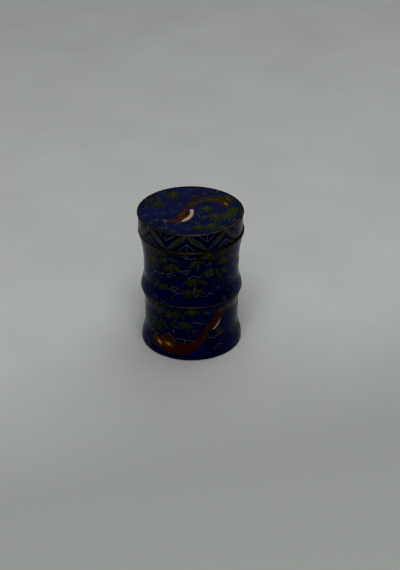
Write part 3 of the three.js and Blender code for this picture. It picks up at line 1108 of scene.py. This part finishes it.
# The lid's band: leaves in a zigzag between its rims, and a nested angle with a stem in each gap.
BAND_REPEATS = 8
BAND_PERIOD = 360 / BAND_REPEATS
BAND_START = -4.2  # azimuth of an upper corner of the zigzag
BAND_MARGIN = 0.25
BAND_TOP = upper_rim_low.z - BAND_MARGIN
BAND_BOTTOM = lower_rim_high.z + BAND_MARGIN
BAND_LEAF_WIDTH = 2.45
BAND_TINT = 0.9
ANGLE_HALF_WIDTH = 9.2  # in azimuth
RAISED_TIP = 70.6
HUNG_TIP = 71.4

band_leaves, band_lines = [], []
for step in range(BAND_REPEATS):
    upper = BAND_START + BAND_PERIOD * step
    lower = upper + BAND_PERIOD / 2
    for way in (-1, 1):
        start = (arc_length(upper), BAND_TOP)
        end = (arc_length(upper + way * BAND_PERIOD / 2), BAND_BOTTOM)
        band_leaves.append(leaf_between(start, end, BAND_LEAF_WIDTH * way, BAND_TINT))
    for middle, edge, tip in ((upper, BAND_BOTTOM, RAISED_TIP), (lower, BAND_TOP, HUNG_TIP)):
        for side in (-1, 1, 0):
            foot = (arc_length(middle + side * ANGLE_HALF_WIDTH), edge)
            band_lines.append([(arc_length(middle), tip), foot])


def straight(line, spacing=0.5):
    """A straight line cut into short steps, so that it can follow a curved wall."""
    (x0, y0), (x1, y1) = line
    steps = max(1, round(math.dist(*line) / spacing))
    return [(x0 + (x1 - x0) * i / steps, y0 + (y1 - y0) * i / steps) for i in range(steps + 1)]


def charted(shape, chart):
    """A cell's spine on the chart, for an oval or for a row of points."""
    if isinstance(shape[0], tuple):
        return chart(shape)
    return oval_spine(*chart((shape[:2],))[0], *shape[2:])


def cells_of(bird, chart):
    """Sides of a bird's cells, with the places of their finishes in the list of plumage."""
    names = list(PLUMAGE)
    return [(*sides(charted(shape, chart)), layer, names.index(finish)) for shape, layer, finish in bird]


def within(place, line):
    """Whether a place lies inside a closed line."""
    x, y = place
    crossings = 0
    for (x0, y0), (x1, y1) in zip(line, line[1:]):
        if (y0 > y) != (y1 > y) and x < x0 + (x1 - x0) * (y - y0) / (y1 - y0):
            crossings += 1
    return crossings % 2 == 1


def lines_of(bird, chart):
    """The outlines of a bird's cells, without what a higher cell covers."""
    outlines = [(closed(*sides(charted(shape, chart))), layer) for shape, layer, _ in bird]
    lines = []
    for line, layer in outlines:
        over = [other for other, height in outlines if height > layer]
        run = []
        for place in line:
            if any(within(place, other) for other in over):
                lines.append(run)
                run = []
            else:
                run.append(place)
        lines.append(run)
    return [line for line in lines if len(line) > 1]


BARB_PITCH = 1.5
BARB_LEAST_WIDTH = 1.2  # narrower parts of a plume have no barbs
BARB_ACROSS, BARB_ALONG = 0.42, 0.34  # as shares of the plume's width


def barbs(shape):
    """Short slanted strokes on both sides of a plume's middle, as its barbs."""
    line = smooth_through(shape, 0.3)
    strokes = []
    travelled = 0.0
    for before, point in zip(line, line[1:]):
        travelled += math.dist(before[:2], point[:2])
        if travelled < BARB_PITCH or point[2] < BARB_LEAST_WIDTH:
            continue
        travelled = 0.0
        way = Vector((point[0] - before[0], point[1] - before[1])).normalized()
        across = Vector((-way.y, way.x))
        for side in (-1, 1):
            end = Vector(point[:2]) + (across * side * BARB_ACROSS + way * BARB_ALONG) * point[2]
            strokes.append([point[:2], tuple(end)])
    return strokes


def lay(name, mesh, tree, values, slot="enamel"):
    """Runs a laying tree, and keeps what it makes as a piece of the box."""
    result = evaluated(mesh, tree, values)
    for label in ("turn", "length", "width"):
        if label in result.attributes:
            result.attributes.remove(result.attributes[label])
    piece(name, result, slot)


back_leaves, back_places = back_rows()
wall_clouds = on_wall(WALL_CLOUDS) + scrolls_beside(back_places)

wall_leaf_points = helper(point_mesh("wall_leaf_points", spray_rows(wall_sprays) + back_leaves))
lid_leaf_points = helper(point_mesh("lid_leaf_points", spray_rows(LID_SPRAYS)))
band_leaf_points = helper(point_mesh("band_leaf_points", band_leaves))
wall_cloud_points = helper(point_mesh("wall_cloud_points", cloud_rows(wall_clouds, WALL_CLOUD_SEED)))
lid_cloud_points = helper(point_mesh("lid_cloud_points", cloud_rows(LID_CLOUDS, LID_CLOUD_SEED)))
no_points = helper(point_mesh("no_points", []))

on_body = {"Carrier": body_enamel, "Axis": 0.0, "Chart radius": CHART_RADIUS * MM}
on_lid = {"Carrier": lid_enamel, "Axis": LID_AXIS * MM, "Chart radius": CHART_RADIUS * MM}
wire_inputs = {
    "Leaf lines": unit_leaf_lines,
    "Cloud lines": unit_cloud_lines,
    "Wire width": WIRE_WIDTH * MM,
    "Wire proud": WIRE_PROUD * MM,
    "Wire depth": WIRE_DEPTH * MM,
    "Leaf gauge": LEAF_GAUGE,
    "Cloud gauge": CLOUD_GAUGE,
    "Finish": wire_brass,
}

nothing = bpy.data.meshes.new("nothing_drawn")
for name, points, carrier, on_carrier in (
    ("body_leaves", wall_leaf_points, "wall", on_body),
    ("lid_top_leaves", lid_leaf_points, "top", on_lid),
    ("lid_band_leaves", band_leaf_points, "wall", on_lid),
):
    values = {"Leaves": points, "Leaf": unit_leaf, "Finish": leaf_green, **on_carrier}
    lay(name, nothing, trees[carrier, "leaves"], values)
lay("body_bird", slab(cells_of(WALL_BIRD, on_wall), PLUMAGE.values()), trees["wall", "cells"], on_body)
lay("lid_bird", slab(cells_of(LID_BIRD, list), PLUMAGE.values()), trees["top", "cells"], on_lid)
lay(
    "body_wires",
    line_mesh(
        "body_lines",
        (LINE_GAUGE, [smooth_through(on_wall(line)) for line in WALL_LINES]),
        (STALK_GAUGE, stalks(wall_sprays)),
        (BIRD_GAUGE, lines_of(WALL_BIRD, on_wall)),
    ),
    trees["wall", "wires"],
    {"Leaves": wall_leaf_points, "Clouds": wall_cloud_points, **wire_inputs, **on_body},
    "brass",
)
plumes = [shape for shape, _, _ in LID_BIRD[:2]]
lay(
    "lid_top_wires",
    line_mesh(
        "lid_lines",
        (LINE_GAUGE, [smooth_through(line) for line in LID_LINES]),
        (STALK_GAUGE, stalks(LID_SPRAYS)),
        (BIRD_GAUGE, lines_of(LID_BIRD, list)),
        (BARB_GAUGE, [stroke for plume in plumes for stroke in barbs(plume)]),
    ),
    trees["top", "wires"],
    {"Leaves": lid_leaf_points, "Clouds": lid_cloud_points, **wire_inputs, **on_lid},
    "brass",
)
lay(
    "lid_band_wires",
    line_mesh("band_lines", (BAND_GAUGE, [straight(line) for line in band_lines])),
    trees["wall", "wires"],
    {**wire_inputs, "Leaves": band_leaf_points, "Clouds": no_points, "Leaf gauge": BAND_LEAF_GAUGE, **on_lid},
    "brass",
)
for made in helpers:
    bpy.data.objects.remove(made)

# Floor, light and camera.

FLOOR_SIZE = 4.0
corner = FLOOR_SIZE / 2
floor_mesh = bpy.data.meshes.new("floor")
floor_corners = [(-corner, -corner, 0), (corner, -corner, 0), (corner, corner, 0), (-corner, corner, 0)]
floor_mesh.from_pydata(floor_corners, [], [(0, 1, 2, 3)])
floor_mesh.materials.append(painted_board())
floor = bpy.data.objects.new("floor", floor_mesh)
scene.collection.objects.link(floor)

# A room that is dim on the camera's side and pale behind the box.
world = bpy.data.worlds.new("studio")
world.use_nodes = True
world.node_tree.nodes.clear()
sky = world.node_tree
sky_way = node(sky, "ShaderNodeTexCoord").outputs["Generated"]
sky_depth = node(sky, "ShaderNodeSeparateXYZ", {0: sky_way}).outputs["Y"]
sky_share = node(sky, "ShaderNodeMapRange", {"Value": sky_depth, "From Min": -0.3, "From Max": 0.8})
sky_colour = layered(sky, (0.13, 0.13, 0.135, 1), (sky_share, (0.37, 0.38, 0.4, 1)))
sky_light = node(sky, "ShaderNodeBackground", {"Color": sky_colour, "Strength": 1.0})
node(sky, "ShaderNodeOutputWorld", {"Surface": sky_light})
scene.world = world

LIGHT_AIM = (0, 0, 0.03)


def softbox(name, place, size, power):
    """A square area light that points at the box. Its place and size are in metres, its power in watts."""
    light = bpy.data.lights.new(name, "AREA")
    light.shape = "SQUARE"
    light.size = size
    light.energy = power
    lamp = bpy.data.objects.new(name, light)
    scene.collection.objects.link(lamp)
    lamp.location = place
    lamp.rotation_euler = (Vector(LIGHT_AIM) - Vector(place)).to_track_quat("-Z", "Y").to_euler()


softbox("front_softbox", (-0.02, -0.75, 1.3), 0.7, 9.6)
softbox("top_softbox", (0.05, -0.2, 1.6), 0.9, 4.4)
softbox("back_softbox", (0.35, 0.6, 1.2), 1.2, 3.4)

# The photograph's camera, from the fit of the box's outline. Picture sizes are in pixels.
PICTURE_HEIGHT = 570
FOCAL_PIXELS = 1418.5
ELEVATION = math.radians(30.123)
DISTANCE = 756.9
AIM_HEIGHT = 38
AIM_RIGHT = 4.589
AIM_DOWN = 6.21
SENSOR = 36

camera_data = bpy.data.cameras.new("camera")
camera_data.sensor_width = SENSOR
camera_data.lens = FOCAL_PIXELS * SENSOR / PICTURE_HEIGHT
camera_data.clip_end = 10
camera = bpy.data.objects.new("camera", camera_data)
scene.collection.objects.link(camera)
middle_of_box = Vector((0, 0, AIM_HEIGHT))
camera_up = Vector((0, math.sin(ELEVATION), math.cos(ELEVATION)))
camera_place = middle_of_box + Vector((0, -DISTANCE * math.cos(ELEVATION), DISTANCE * math.sin(ELEVATION)))
camera_aim = middle_of_box + Vector((AIM_RIGHT, 0, 0)) - AIM_DOWN * camera_up
camera.location = camera_place * MM
camera.rotation_euler = (camera_aim - camera_place).to_track_quat("-Z", "Y").to_euler()
scene.camera = camera

# The photograph's tones: plain, with its darkest shades crushed to black.
scene.view_settings.view_transform = "Standard"
scene.view_settings.gamma = 0.625
scene.view_settings.use_curve_mapping = True
scene.view_settings.curve_mapping.black_level = (0.0145, 0.0145, 0.0145)
scene.view_settings.curve_mapping.update()
